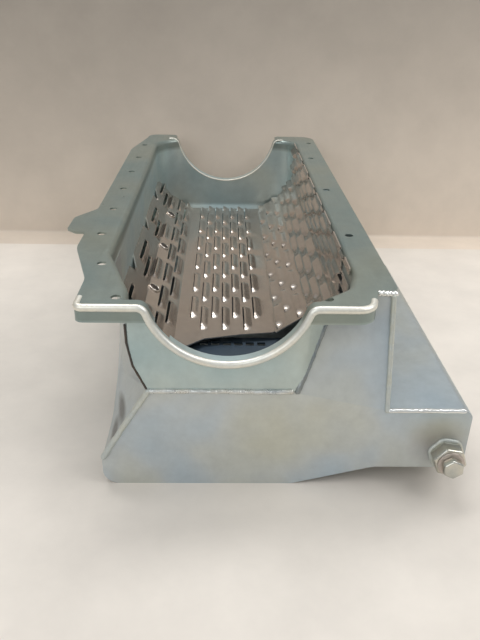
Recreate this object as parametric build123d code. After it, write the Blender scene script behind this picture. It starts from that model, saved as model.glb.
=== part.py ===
"""Fabricated kick-out engine oil pan with a louvred windage tray.

Frame of the model while it is drawn (the rail frame): X across the pan, Y from the near end to the
far end, Z up, with Z = 0 on the gasket face of the rail and X = 0 on the crankshaft line.  Every node is
moved at the end so that the finished pan stands on Z = 0 with the centre of its box on the Z axis.
"""
from build123d import *
from math import atan2, cos, degrees, hypot, radians, sin, sqrt, tan
import os

# ----------------------------------------------------------------------------------------------
# Driving dimensions, millimetres
# ----------------------------------------------------------------------------------------------
SHEET = 1.6                 # pressed upper pan and folded sump sheets
PLATE = 2.0                 # flat end plates of the sump

# gasket rail
RAIL_LENGTH = 555.0
RAIL_HALF = 120.8           # crankshaft line to the outer edge
LEFT_EAR_HALF = 102.6       # the rail steps in towards the left near ear
RIGHT_EAR_HALF = 98.0
FAR_LEFT_HALF = 107.0       # and again at the far left corner
EAR_STEP_Y = 30.0           # end of the cut-back right ear
LIP_DEPTH = 12.0            # turned-down near edge
RAIL_BEND = 5.0             # radius between the rail and the walls
TAB_REACH = 16.7            # locating tab on the left edge
TAB_Y = 177.0
TAB_LENGTH = 66.0

# tub
INNER_LEFT = 91.5           # crankshaft line to the inner face of the left wall
INNER_RIGHT = 93.3
TUB_DEPTH = 101.0
FLOOR_BEND = 12.0
DEEP_Y = 140.0              # the full depth starts here
CORNER_Y = 98.0             # the left wall turns in here towards the near end
FAR_LEFT_CORNER = 45.0      # inner corner radii, seen from above
FAR_RIGHT_CORNER = 30.0
END_WALL_Y = 5.0            # outer face of the near end wall
NOSE_DEPTH = 68.5           # where the near end wall meets the front plate
LEFT_FRONT_X = 68.4         # left end of the near end wall
NOSE_LEFT = 56.0            # ends of that seam
NOSE_RIGHT = 44.0
WINDOW_TOP = 14.0           # the walls are cut away below this beside the sump
FAR_WALL_Y = 531.0          # inner face of the far end wall
NEAR_ARC_R = 57.0
NEAR_ARC_RISE = 14.0        # centre of the arc above the rail face
FAR_ARC_R = 67.0
FAR_ARC_RISE = 10.0
ARC_FLARE = 8.0             # rounding where an arc runs out into the rail
SEAL_FLANGE = 11.0          # width of the flange that carries the end seals
BEAD = 4.6                  # rolled edge along the near arc
BEAD_BEVEL = 1.4

# bolt holes
BOLT_HOLE_R = 3.6
LEFT_EAR_HOLE_X = 76.0
RIGHT_EAR_HOLE_X = 68.5
EAR_HOLE_Y = 15.0
BOLT_LINE = 106.5
LEFT_STEP_HOLE = (-95.3, 75.0)
LEFT_FIRST_Y = 141.5
LEFT_PITCH = 69.0
LEFT_COUNT = 6
RIGHT_FIRST_Y = 145.0
RIGHT_PITCH = 141.0
RIGHT_COUNT = 3
RIGHT_CORNER_Y = 514.0

# sump
SUMP_LENGTH = 285.0
SUMP_DEPTH = 152.5          # rail face to the underside
SUMP_RIGHT = 117.0          # outer face of the wall above the kick-out
KICKOUT_REACH = 181.0
KICKOUT_TOP = 84.5
RAMP_RISE = 16.5            # the kick-out floor lies this far above the underside
RAMP_START = 50.0           # where the bottom begins to rise
RAMP_END = 112.0
BOTTOM_BEND = 12.0
KICKOUT_TOP_BEND = 7.0
KICKOUT_LOW_BEND = 11.0
SEAM_RISE = 24.0            # kick-out floor to the seam on its outer side
SHELF_RISE = 22.5           # underside to the lower edge of the left hand shelf
FLAP_SET_BACK = 24.5        # the right part of the front leans back to the rail edge

# windage tray
TRAY_SHEET = 1.2
TRAY_FLOOR_HALF = 46.3
TRAY_DEPTH = 96.0           # top of its floor below the rail face
FACET_X = 75.7
FACET_Z = -76.4
TRAY_SIDE_GAP = 0.5         # upright right hand panel to the tub wall
TRAY_WING_SLOPE = 60.7
TRAY_FAR_Y = 524.0
TRAY_NEAR_LEFT = 118.0
TRAY_NEAR_RIGHT = 148.0
TRAY_TOP_Z = 1.0
LOUVRE_PITCH = 60.0
LOUVRE_LENGTH = 48.0
LOUVRE_WIDTH = 7.6
LOUVRE_HEIGHT = 3.4
LOUVRE_COLUMN = 10.15
LOUVRE_STAGGER = 24.0
FIRST_ROW_Y = 476.0
WING_PITCH = 117.0          # the left wing has longer louvres, farther apart
WING_LOUVRE = 55.0
WING_FIRST_Y = 464.0
BITE_FIRST_Y = 424.0        # saw-tooth edge of the left wing
BITE_LENGTH = 30.0
BITE_DEPTH = 11.0

# baffle over the near part of the sump
BAFFLE_DEPTH = 103.0
BAFFLE_FAR_Y = 149.0
BAFFLE_SHEET = 1.6

# drain
DRAIN_INSET = 14.8          # from the kick-out's outer side
DRAIN_RISE = 13.5           # above its floor
BUNG_R = 13.0               # over the corners of its hexagon
BUNG_TURN = 50.0
BUNG_PROUD = 12.5
BUNG_BEHIND = 5.0
SHANK_R = 6.35
THREAD_CLEARANCE = 0.05
PLUG_SHANK = 14.0
WASHER_R = 10.0
WASHER_THICK = 1.5
HEX_R = 8.2                 # over the corners of the plug's head
HEX_TURN = 34.0
HEX_HEIGHT = 7.0
HEX_CHAMFER = 1.3

# tray fixings
SCREW_R = 2.5
SCREW_ACROSS = 5.5          # from the wing's fold, down the facet
SCREW_FIRST_Y = 441.0
SCREW_HEAD_R = 4.7
SCREW_HEAD = 3.0
SCREW_LENGTH = 12.0
STANDOFF_R = 5.5

# welds
WELD_R = 2.4
SEAM_WELD_R = 1.5
BACK_WELD_R = 1.8
BUNG_WELD_LEG = 1.6

# ----------------------------------------------------------------------------------------------
# Worked out from the driving dimensions
# ----------------------------------------------------------------------------------------------
OUTER_LEFT = INNER_LEFT + SHEET
OUTER_RIGHT = INNER_RIGHT + SHEET
KICKOUT_FLOOR = SUMP_DEPTH - RAMP_RISE
SEAM_Z = -KICKOUT_FLOOR + SEAM_RISE
SHELF_Z = -SUMP_DEPTH + SHELF_RISE
DRAIN_X = KICKOUT_REACH - DRAIN_INSET
DRAIN_DEPTH = KICKOUT_FLOOR - DRAIN_RISE
SUMP_FRONT = END_WALL_Y                      # outer face of the front plate
SUMP_BACK = SUMP_FRONT + SUMP_LENGTH         # outer face of the back plate
PLUG_SEAT = SUMP_FRONT - BUNG_PROUD - WASHER_THICK
MIDDLE_X = (KICKOUT_REACH + SEAM_WELD_R - RAIL_HALF - TAB_REACH) / 2
MIDDLE_Y = (RAIL_LENGTH + PLUG_SEAT - HEX_HEIGHT) / 2
FAR = 1000.0                                 # larger than the pan, for cutting tools


def polygon(points, radii=0.0, plane=Plane.XY):
    """Face bounded by a closed polyline with rounded corners."""
    radius = [radii] * len(points) if isinstance(radii, (int, float)) else list(radii)
    with BuildSketch(plane) as sketch:
        with BuildLine():
            FilletPolyline(*points, radius=radius, close=True)
        make_face()
    return sketch.sketch


def prism(face, low, high):
    """Extrude a face of the XY plane between two heights."""
    return Pos(0, 0, low) * extrude(face, high - low, dir=(0, 0, 1))


XZ = Plane(origin=(0, 0, 0), x_dir=(1, 0, 0), z_dir=(0, -1, 0))


def slab_y(points, near, far, radii=0.0):
    """Extrude an outline given as (X, Z) points between two Y values."""
    face = polygon(points, radii, XZ)
    return Pos(0, near, 0) * extrude(face, far - near, dir=(0, 1, 0))


def block(x0, x1, y0, y1, z0, z1):
    return Pos((x0 + x1) / 2, (y0 + y1) / 2, (z0 + z1) / 2) * Box(x1 - x0, y1 - y0, z1 - z0)


# ----------------------------------------------------------------------------------------------
# Upper pan: rail, walls, far floor and half-round ends, pressed from one sheet
# ----------------------------------------------------------------------------------------------
def rail_outline():
    tab_far, tab_near = TAB_Y + TAB_LENGTH / 2, TAB_Y - TAB_LENGTH / 2
    tip = -RAIL_HALF - TAB_REACH
    points = [(-LEFT_EAR_HALF, 0), (RIGHT_EAR_HALF, 0), (RIGHT_EAR_HALF + 8, EAR_STEP_Y),
              (RAIL_HALF, EAR_STEP_Y), (RAIL_HALF, RAIL_LENGTH), (-FAR_LEFT_HALF, RAIL_LENGTH),
              (-FAR_LEFT_HALF, RAIL_LENGTH - 20), (-RAIL_HALF, RAIL_LENGTH - 92),
              (-RAIL_HALF, tab_far), (tip, TAB_Y + TAB_LENGTH / 10), (tip, tab_near + 8),
              (-RAIL_HALF - 8, tab_near), (-RAIL_HALF, tab_near), (-RAIL_HALF, 108), (-LEFT_EAR_HALF, 46)]
    radii = [6, 14, 6, 6, 18, 14, 20, 60, 12, 12, 5, 5, 3, 40, 40]
    return points, radii


def wall_outline():
    """Inner face of the walls, seen from above."""
    near = END_WALL_Y + SHEET
    points = [(-LEFT_FRONT_X, near), (52, near), (86, 36), (INNER_RIGHT, 62), (INNER_RIGHT, FAR_WALL_Y),
              (-INNER_LEFT, FAR_WALL_Y), (-INNER_LEFT, CORNER_Y), (-LEFT_FRONT_X - 1, 30)]
    radii = [1, 14, 16, 30, FAR_RIGHT_CORNER, FAR_LEFT_CORNER, 10, 30]
    return points, radii


def deep_outline(grow):
    """Deep part of the tub behind the nose, grown outwards on three sides."""
    left, right, far = INNER_LEFT + grow, INNER_RIGHT + grow, FAR_WALL_Y + grow
    points = [(-left, DEEP_Y), (right, DEEP_Y), (right, far), (-left, far)]
    return points, [0, 0, FAR_RIGHT_CORNER + grow, FAR_LEFT_CORNER + grow]


def deep_block(grow):
    """Deep part of the tub with a rounded floor edge."""
    points, radii = deep_outline(grow)
    solid = prism(polygon(points, radii), -TUB_DEPTH - grow, -NOSE_DEPTH + 20)
    low = [e for e in solid.edges() if flat_at(e, -TUB_DEPTH - grow) and e.bounding_box().max.Y > DEEP_Y + 1]
    return fillet(low, FLOOR_BEND + grow)


def flat_at(edge, z):
    """True for an edge that lies in the plane at this height."""
    box = edge.bounding_box()
    return abs(box.max.Z - z) < 0.01 and abs(box.min.Z - z) < 0.01


def inside(edge, x0, x1, y0, y1):
    """True for an edge whose box lies between these limits."""
    box = edge.bounding_box()
    return box.min.X > x0 and box.max.X < x1 and box.min.Y > y0 and box.max.Y < y1


def below_arc(radius, rise):
    """Face of the material under the arc line, its two top corners rounded into the rail."""
    half = sqrt(radius ** 2 - rise ** 2)
    wide, low = half + 3 * ARC_FLARE, rise - radius - 20
    with BuildSketch(XZ) as sketch:
        with BuildLine():
            ThreePointArc((-half, 0), (0, rise - radius), (half, 0))
            Polyline((half, 0), (wide, 0), (wide, low), (-wide, low), (-wide, 0), (-half, 0))
        make_face()
        corners = [v for v in sketch.vertices() if abs(abs(v.X) - half) < 0.01 and abs(v.Z) < 0.01]
        fillet(corners, ARC_FLARE)
    return sketch.sketch, wide, low


def arc_band(radius, rise, thick, y0, y1):
    """Strip of the given thickness under the arc line."""
    face, wide, low = below_arc(radius, rise)
    band = face - offset(face, -thick, kind=Kind.INTERSECTION)
    solid = Pos(0, y0, 0) * extrude(band, y1 - y0, dir=(0, 1, 0))
    keep = block(-wide + thick + 1, wide - thick - 1, y0 - 1, y1 + 1, low + thick + 1, 1)
    return solid & keep


def arc_opening(radius, rise, y0, y1):
    """Space above the arc line, flared ends included."""
    face, wide, low = below_arc(radius, rise)
    solid = Pos(0, y0, 0) * extrude(face, y1 - y0, dir=(0, 1, 0))
    return block(-wide, wide, y0, y1, low, 0.001) - solid


def bolt_holes():
    spots = [(-LEFT_EAR_HOLE_X, EAR_HOLE_Y), (RIGHT_EAR_HOLE_X, EAR_HOLE_Y), LEFT_STEP_HOLE,
             (BOLT_LINE + 5, RIGHT_CORNER_Y)]
    spots += [(-BOLT_LINE, LEFT_FIRST_Y + i * LEFT_PITCH) for i in range(LEFT_COUNT)]
    spots += [(BOLT_LINE - 2, RIGHT_FIRST_Y + i * RIGHT_PITCH) for i in range(RIGHT_COUNT)]
    return [Pos(x, y, -SHEET / 2) * Cylinder(BOLT_HOLE_R, 3 * SHEET) for x, y in spots]


def tub_walls(grow):
    """Prism inside the walls down to the nose seam, grown outwards."""
    points, radii = wall_outline()
    face = polygon(points, radii)
    if grow:
        face = offset(face, grow)
    return prism(face, -NOSE_DEPTH, 0)


def upper_pan():
    rail_points, rail_radii = rail_outline()
    rail_face = polygon(rail_points, rail_radii)
    body = tub_walls(SHEET) + deep_block(SHEET) + prism(rail_face, -SHEET, 0)
    under = [e for e in body.edges() if flat_at(e, -SHEET)
             and inside(e, -OUTER_LEFT - 1, OUTER_RIGHT + 1, END_WALL_Y - 1, FAR_WALL_Y + SHEET + 1)]
    body = chamfer(under, RAIL_BEND - SHEET - 1)
    points, radii = wall_outline()
    body -= prism(polygon(points, radii), -NOSE_DEPTH - 1, 1) + deep_block(0)
    top = [e for e in body.edges() if flat_at(e, 0)
           and inside(e, -INNER_LEFT - 1, INNER_RIGHT + 1, END_WALL_Y, FAR_WALL_Y + 1)]
    body = fillet(top, RAIL_BEND)

    # turned-down near edge round both ears
    rim = rail_face - offset(rail_face, -SHEET)
    lip = prism(rim, -LIP_DEPTH, -SHEET / 2)
    body += lip & block(-RAIL_HALF, 0, -1, 9, -FAR, FAR)
    body += lip & block(0, RIGHT_EAR_HALF + 6, -1, EAR_STEP_Y - 8, -FAR, FAR)
    square = prism(rail_face, -LIP_DEPTH, 0)
    bevelled = chamfer([e for e in square.edges() if flat_at(e, 0)], BEAD_BEVEL)
    body -= (square - bevelled) & block(-FAR, FAR, -1, EAR_STEP_Y - 14, -FAR, FAR)

    # half-round ends
    far_seal = FAR_WALL_Y + SHEET + SEAL_FLANGE
    body -= arc_opening(NEAR_ARC_R, NEAR_ARC_RISE, -1, SEAL_FLANGE)
    body += arc_band(NEAR_ARC_R, NEAR_ARC_RISE, SHEET, 0, SEAL_FLANGE)
    rolled = arc_band(NEAR_ARC_R, NEAR_ARC_RISE, BEAD, 0, BEAD)
    rolled = chamfer([e for e in rolled.edges() if abs(e.bounding_box().max.Y) < 0.01], BEAD_BEVEL)
    body += rolled
    body -= arc_opening(FAR_ARC_R, FAR_ARC_RISE, FAR_WALL_Y - RAIL_BEND - 1, RAIL_LENGTH + 1)
    body += arc_band(FAR_ARC_R, FAR_ARC_RISE, SHEET, FAR_WALL_Y + SHEET, far_seal)

    # openings into the sump: floor, right wall and the space behind the left panel
    mouth_end = SUMP_BACK - PLATE - 4
    body -= block(-FAR, FAR, DEEP_Y - 10, mouth_end, -FAR, -TUB_DEPTH + FLOOR_BEND)
    body -= block(0, FAR, DEEP_Y - 74, mouth_end - 10, -FAR, -WINDOW_TOP)
    body -= block(-FAR, -40, END_WALL_Y + SHEET, DEEP_Y, -NOSE_DEPTH - 1, -WINDOW_TOP)
    body -= block(-FAR, -40, -1, END_WALL_Y + SHEET, -NOSE_DEPTH - 1, -WINDOW_TOP) - left_corner()
    for hole in bolt_holes():
        body -= hole
    return body


# ----------------------------------------------------------------------------------------------
# Sump
# ----------------------------------------------------------------------------------------------
def left_corner():
    """Outer envelope of the left front corner, where the sump widens under the nose."""
    top, low = -WINDOW_TOP, SHELF_Z
    stations = [
        (SUMP_FRONT, [(-LEFT_FRONT_X - SHEET, top), (-69.5, -30), (-66, -48), (-NOSE_LEFT, -NOSE_DEPTH),
                      (-75, -99)]),
        (60, [(-81.5, top), (-79.5, -38), (-81, -60), (-85, -83), (-89.5, -108)]),
        (CORNER_Y, [(-OUTER_LEFT, top), (-89.5, -38), (-88.5, -60), (-90.5, -85), (-OUTER_LEFT + 0.3, -108)]),
        (DEEP_Y, [(-OUTER_LEFT, z) for z in (top, -38, -60, -85, -108)]),
    ]
    faces = []
    for y, points in stations:
        outline = points + [(-OUTER_LEFT, low), (-40, low), (-40, top)]
        faces.append(Pos(0, y, 0) * Face(Wire.make_polygon([(x, 0, z) for x, z in outline])))
    return loft(faces, ruled=True)


def sump_outline():
    """Outer outline of the sump below the tub, as (X, Z) points with corner radii."""
    points = [(-OUTER_LEFT, -60), (-OUTER_LEFT, -SUMP_DEPTH), (RAMP_START, -SUMP_DEPTH),
              (RAMP_END, -KICKOUT_FLOOR), (KICKOUT_REACH, -KICKOUT_FLOOR), (KICKOUT_REACH, -KICKOUT_TOP),
              (SUMP_RIGHT - SHEET, -KICKOUT_TOP), (SUMP_RIGHT - SHEET, -60)]
    radii = [0, BOTTOM_BEND, 20, 20, KICKOUT_LOW_BEND, KICKOUT_TOP_BEND, 0, 0]
    return points, radii


def sump_band():
    """Folded sheet all round the sump outline between the two end plates."""
    points, radii = sump_outline()
    face = polygon(points, radii, XZ)
    band = face - offset(face, -SHEET, kind=Kind.INTERSECTION)
    return Pos(0, SUMP_FRONT + PLATE, 0) * extrude(band, SUMP_LENGTH - 2 * PLATE, dir=(0, 1, 0))


def flap_plane():
    """Front face of the part of the front that leans back to the rail."""
    low_left = Vector(NOSE_RIGHT, SUMP_FRONT, -NOSE_DEPTH)
    low_right = Vector(SUMP_RIGHT, SUMP_FRONT, -KICKOUT_TOP)
    high = Vector(SUMP_RIGHT - 5, SUMP_FRONT + FLAP_SET_BACK, -SHEET)
    normal = (low_right - low_left).cross(high - low_left).normalized()
    return Plane(origin=low_left, x_dir=(low_right - low_left), z_dir=normal)


def flap_space(back):
    """Half space in front of the flap's plane, moved back by a distance."""
    return flap_plane() * Pos(0, 0, FAR / 2 - back) * Box(FAR, FAR, FAR)


def front_plate():
    points = [(-NOSE_LEFT, -NOSE_DEPTH), (NOSE_RIGHT, -NOSE_DEPTH), (SUMP_RIGHT, -KICKOUT_TOP),
              (KICKOUT_REACH, -KICKOUT_TOP), (KICKOUT_REACH, -KICKOUT_FLOOR), (RAMP_END, -KICKOUT_FLOOR),
              (RAMP_START, -SUMP_DEPTH), (-OUTER_LEFT, -SUMP_DEPTH), (-OUTER_LEFT, SHELF_Z)]
    radii = [0, 0, 0, KICKOUT_TOP_BEND, KICKOUT_LOW_BEND, 20, 20, BOTTOM_BEND, 0]
    plate = slab_y(points, SUMP_FRONT, SUMP_FRONT + PLATE, radii)
    flap = slab_y([(NOSE_RIGHT, -NOSE_DEPTH), (SUMP_RIGHT, -KICKOUT_TOP), (SUMP_RIGHT, -SHEET),
                   (NOSE_RIGHT, -SHEET)], -20, 80)
    flap = (flap & flap_space(PLATE)) - flap_space(0) - tub_walls(SHEET)
    flap -= rail_bend_block()
    plate += max(flap.solids(), key=lambda s: s.volume)
    bore = Pos(DRAIN_X, SUMP_FRONT, -DRAIN_DEPTH) * Rot(90, 0, 0) * Cylinder(BUNG_R - 2, 4 * PLATE)
    return plate - bore


def rail_bend_block():
    """Space taken by the rounded underside of the rail beside the walls."""
    points, radii = wall_outline()
    return prism(offset(polygon(points, radii), RAIL_BEND), -RAIL_BEND, 0)


def back_plate():
    points = [(-OUTER_LEFT, -TUB_DEPTH + FLOOR_BEND), (OUTER_RIGHT, -TUB_DEPTH + FLOOR_BEND),
              (OUTER_RIGHT, -SHEET), (SUMP_RIGHT, -SHEET), (SUMP_RIGHT, -KICKOUT_TOP),
              (KICKOUT_REACH, -KICKOUT_TOP), (KICKOUT_REACH, -KICKOUT_FLOOR), (RAMP_END, -KICKOUT_FLOOR),
              (RAMP_START, -SUMP_DEPTH), (-OUTER_LEFT, -SUMP_DEPTH)]
    radii = [0, 0, 0, 0, 0, KICKOUT_TOP_BEND, KICKOUT_LOW_BEND, 20, 20, BOTTOM_BEND]
    plate = slab_y(points, SUMP_BACK - PLATE, SUMP_BACK, radii)
    return plate - deep_block(SHEET) - rail_bend_block()


def left_panel(pan, front):
    """Left side of the sump with the formed corner that reaches in under the nose."""
    corner = left_corner()
    shell = corner - Pos(1.2 * SHEET, 0, 0) * corner
    bevel = Plane(origin=(0, SUMP_FRONT, -NOSE_DEPTH), x_dir=(1, 0, 0), z_dir=(0, -1, 0.27))
    shell -= bevel * Pos(0, 0, FAR / 2) * Box(FAR, FAR, FAR)
    shell -= block(-FAR, FAR, -10, SUMP_FRONT + PLATE, -FAR, FAR)
    side_low = -SUMP_DEPTH + BOTTOM_BEND
    skin = block(-OUTER_LEFT, -INNER_LEFT, SUMP_FRONT + PLATE, SUMP_BACK - PLATE, side_low, SHELF_Z)
    skin += block(-OUTER_LEFT, -INNER_LEFT, DEEP_Y, SUMP_BACK - PLATE, SHELF_Z, -TUB_DEPTH + FLOOR_BEND)
    return (shell + skin) - pan - front


def sump_bottom():
    band = sump_band()
    low = band & block(-OUTER_LEFT - 1, 0, -1, FAR, -FAR, -SUMP_DEPTH + BOTTOM_BEND)
    return low + (band & block(0, FAR, -1, FAR, -FAR, SEAM_Z))


def kickout_cover():
    return sump_band() & block(SUMP_RIGHT - SHEET, FAR, -1, FAR, SEAM_Z, -KICKOUT_TOP + 1)


def right_wall():
    wall = block(SUMP_RIGHT - SHEET, SUMP_RIGHT, SUMP_FRONT, SUMP_BACK - PLATE, -KICKOUT_TOP, -SHEET)
    return wall - flap_space(PLATE)


# ----------------------------------------------------------------------------------------------
# Windage tray
# ----------------------------------------------------------------------------------------------
FACET_SLOPE = degrees(atan2(FACET_Z + TRAY_DEPTH, FACET_X - TRAY_FLOOR_HALF))
FACET_LENGTH = hypot(FACET_Z + TRAY_DEPTH, FACET_X - TRAY_FLOOR_HALF)
TRAY_SIDE = INNER_RIGHT - TRAY_SIDE_GAP - TRAY_SHEET      # upper face of the upright panel
WING_RISE = (TRAY_SIDE - FACET_X) * tan(radians(TRAY_WING_SLOPE))
WING_TOP_Z = FACET_Z + WING_RISE
WING_LENGTH = WING_RISE / sin(radians(TRAY_WING_SLOPE))

# each panel: a point on its upper face, its slope, and its columns as (distance from that point, phase)
PANELS = [
    ((0, -TRAY_DEPTH), 0, [(k * LOUVRE_COLUMN + 0.9, (k + 1) % 2) for k in range(-3, 4)]),
    ((TRAY_FLOOR_HALF, -TRAY_DEPTH), FACET_SLOPE, [(6.2, 1), (16.6, 0), (28.5, 1)]),
    ((FACET_X, FACET_Z), TRAY_WING_SLOPE, [(5.3, 0), (16.2, 1), (26.6, 0)]),
    ((TRAY_SIDE, WING_TOP_Z), 90, [(9, 1), (19.2, 0), (29.4, 1), (39.6, 0)]),
    ((-TRAY_FLOOR_HALF, -TRAY_DEPTH), -FACET_SLOPE, [(-6.8, 1), (-17.2, 0)]),
]
# the left wing's coarser pattern: (distance from the fold, near end of the farthest louvre)
WING_COLUMNS = [(5.0, WING_FIRST_Y), (-5.5, WING_FIRST_Y - 21), (-17, WING_FIRST_Y)]


def louvre_solid(length, grow, open_side):
    """Hipped louvre hood standing on its sheet: outer form, or the space inside it."""
    half = LOUVRE_WIDTH / 2
    high = LOUVRE_HEIGHT + grow
    if open_side:
        under = -2 * TRAY_SHEET
        across = [(-half, under), (-half, 0), (-half - 1, 0), (-half - 1, high), (-half, high),
                  (half + grow, 0), (half + grow, under)]
    else:
        under = -TRAY_SHEET / 2
        across = [(-half, under), (-half, high), (half, 0), (half, under)]
    end = length / 2 + grow
    along = [(-end, under), (-end, 0), (-end + 4.5, high), (end - 4.5, high), (end, 0), (end, under)]
    section = polygon(across, 0, XZ)
    ridge = Pos(0, -end, 0) * extrude(section, 2 * end, dir=(0, 1, 0))
    side = polygon([(y, z) for y, z in along], 0, Plane.YZ)
    hips = Pos(-4 * half, 0, 0) * extrude(side, 8 * half, dir=(1, 0, 0))
    return ridge & hips


def near_limit(x):
    """Where the near edge of the tray lies at this distance from the crankshaft line."""
    edge = sorted(tray_trim()[:8])
    for (x0, y0), (x1, y1) in zip(edge, edge[1:]):
        if x0 <= x <= x1 and x1 > x0:
            return y0 + (y1 - y0) * (x - x0) / (x1 - x0)
    return edge[-1][1] if x > 0 else edge[0][1]


def louvre_row(x, z, slope, across, first, pitch, length):
    """Louvres of one column from the far end to the near edge."""
    px = x + across * cos(radians(slope))
    pz = z + across * sin(radians(slope))
    margin = 5 if abs(slope) < 1 else -length / 2
    row = []
    near = first
    while near > near_limit(px) + margin:
        row.append((Location((px, near + length / 2, pz), (0, -slope, 0)), length))
        near -= pitch
    return row


def louvre_places():
    """Location and length of every louvre."""
    places = []
    for (x, z), slope, columns in PANELS:
        for across, phase in columns:
            first = FIRST_ROW_Y + phase * (LOUVRE_PITCH - LOUVRE_STAGGER)
            places += louvre_row(x, z, slope, across, first, LOUVRE_PITCH, LOUVRE_LENGTH)
    for across, first in WING_COLUMNS:
        slope = FACET_SLOPE if across > 0 else TRAY_WING_SLOPE
        places += louvre_row(-FACET_X, FACET_Z, -slope, across, first, WING_PITCH, WING_LOUVRE)
    return places


def tray_section():
    """Centre line of the folded sheet, along its upper face."""
    return [(-TRAY_SIDE, WING_TOP_Z), (-FACET_X, FACET_Z), (-TRAY_FLOOR_HALF, -TRAY_DEPTH),
            (TRAY_FLOOR_HALF, -TRAY_DEPTH), (FACET_X, FACET_Z), (TRAY_SIDE, WING_TOP_Z),
            (TRAY_SIDE, TRAY_TOP_Z)]


def below(points, thick):
    """The same open polyline moved to its right by a thickness, corners mitred."""
    moved = []
    for i, (x, z) in enumerate(points):
        turns = []
        if i > 0:
            turns.append(atan2(z - points[i - 1][1], x - points[i - 1][0]))
        if i < len(points) - 1:
            turns.append(atan2(points[i + 1][1] - z, points[i + 1][0] - x))
        mean = sum(turns) / len(turns)
        reach = thick / cos((turns[-1] - turns[0]) / 2)
        moved.append((x + reach * sin(mean), z - reach * cos(mean)))
    return moved


def tray_trim():
    """Plan of the tray: the near edge runs askew and steps back round the near corner."""
    return [(-INNER_LEFT, TRAY_NEAR_LEFT + 21), (-48, TRAY_NEAR_LEFT + 8), (-38, TRAY_NEAR_LEFT),
            (-20, TRAY_NEAR_LEFT + 16), (13, TRAY_NEAR_RIGHT - 5.5), (44, TRAY_NEAR_RIGHT - 0.5),
            (FACET_X, TRAY_NEAR_RIGHT), (TRAY_SIDE - 1, TRAY_NEAR_RIGHT - 46), (TRAY_SIDE - 1, 68),
            (INNER_RIGHT, 68), (INNER_RIGHT, TRAY_FAR_Y), (-INNER_LEFT, TRAY_FAR_Y)]


def screw_places():
    """Where the tray is screwed down: on the left facet, between the long louvres."""
    x = -FACET_X + SCREW_ACROSS * cos(radians(FACET_SLOPE))
    z = FACET_Z - SCREW_ACROSS * sin(radians(FACET_SLOPE))
    return [Location((x, SCREW_FIRST_Y - i * WING_PITCH, z), (0, FACET_SLOPE, 0)) for i in range(3)]


def windage_tray():
    top = tray_section()
    sheet = slab_y(top + below(top, TRAY_SHEET)[::-1], 40, TRAY_FAR_Y + 10)
    hoods, voids = [], []
    forms = {}
    for place, length in louvre_places():
        if length not in forms:
            forms[length] = (louvre_solid(length, 0, False), louvre_solid(length - 2, -1.0, True))
        hoods.append(place * forms[length][0])
        voids.append(place * forms[length][1])
    tray = sheet.fuse(*hoods).cut(*voids)
    for place in screw_places():
        tray -= place * Cylinder(SCREW_R + 0.3, 8)
    trim = prism(polygon(tray_trim()), -FAR / 2, FAR / 2)
    tray = tray & trim
    keep = prism(polygon([(-INNER_LEFT + TRAY_SIDE_GAP, 0), (INNER_RIGHT - TRAY_SIDE_GAP, 0),
                          (INNER_RIGHT - TRAY_SIDE_GAP, FAR_WALL_Y - TRAY_SIDE_GAP),
                          (-INNER_LEFT + TRAY_SIDE_GAP, FAR_WALL_Y - TRAY_SIDE_GAP)],
                         [0, 0, FAR_RIGHT_CORNER, FAR_LEFT_CORNER]), -FAR, FAR)
    tray = tray & keep
    for i in range(4):
        tray -= wing_bite(BITE_FIRST_Y - i * WING_PITCH)
    for i in range(7):
        y = FIRST_ROW_Y - LOUVRE_STAGGER - i * LOUVRE_PITCH
        tray -= block(TRAY_SIDE - 2, FAR, y, y + 20, TRAY_TOP_Z - 3.2, FAR)
    return max(tray.solids(), key=lambda s: s.volume)


def wing_bite(y):
    """Notch in the left wing's edge: steep at its near end, running out slowly at its far end."""
    edge = WING_LENGTH
    outline = [(edge + 5, y), (edge - BITE_DEPTH, y + 6), (edge - BITE_DEPTH + 2, y + 14),
               (edge - 2, y + BITE_LENGTH), (edge + 5, y + BITE_LENGTH + 1)]
    face = polygon([(-u, v) for u, v in outline], [0, 3, 8, 8, 0])
    return Location((-FACET_X, 0, FACET_Z), (0, TRAY_WING_SLOPE, 0)) * prism(face, -8, 8)


def tray_screws():
    """Hexagon-head screws."""
    head = extrude(RegularPolygon(SCREW_HEAD_R, 6), SCREW_HEAD)
    shank = Pos(0, 0, -SCREW_LENGTH / 2) * Cylinder(SCREW_R, SCREW_LENGTH)
    return [place * (head + shank) for place in screw_places()]


def tray_standoffs(pan, panel):
    """Hexagonal posts welded to the inside of the tub, which carry the tray's left side."""
    posts = []
    for place in screw_places():
        post = Pos(0, 0, -TRAY_SHEET) * extrude(RegularPolygon(STANDOFF_R, 6), -50)
        bore = Pos(0, 0, -TRAY_SHEET - 6) * Cylinder(SCREW_R + 0.05, 12)
        post = place * (post - bore)
        post = post & (deep_block(0) + block(-INNER_LEFT, 0, SUMP_FRONT, SUMP_BACK - PLATE - 5, -140, -80))
        post = post - pan - panel
        posts.append(max(post.solids(), key=lambda s: s.volume))
    return posts


# ----------------------------------------------------------------------------------------------
# Baffle, drain and welds
# ----------------------------------------------------------------------------------------------
def sump_baffle():
    back = SUMP_FRONT + PLATE
    plan = [(-69, back), (88, back), (88, BAFFLE_FAR_Y), (-90, BAFFLE_FAR_Y), (-89, 100), (-84, 60)]
    plate = prism(polygon(plan), -BAFFLE_DEPTH - BAFFLE_SHEET, -BAFFLE_DEPTH)
    plate += block(-60, 88, back, back + BAFFLE_SHEET, -BAFFLE_DEPTH - 15, -BAFFLE_DEPTH)
    for i in range(6):
        x = -24 + i * 10.5
        plate -= block(x, x + 7.5, BAFFLE_FAR_Y - 15, BAFFLE_FAR_Y - 9, -FAR, FAR)
    return plate


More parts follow.
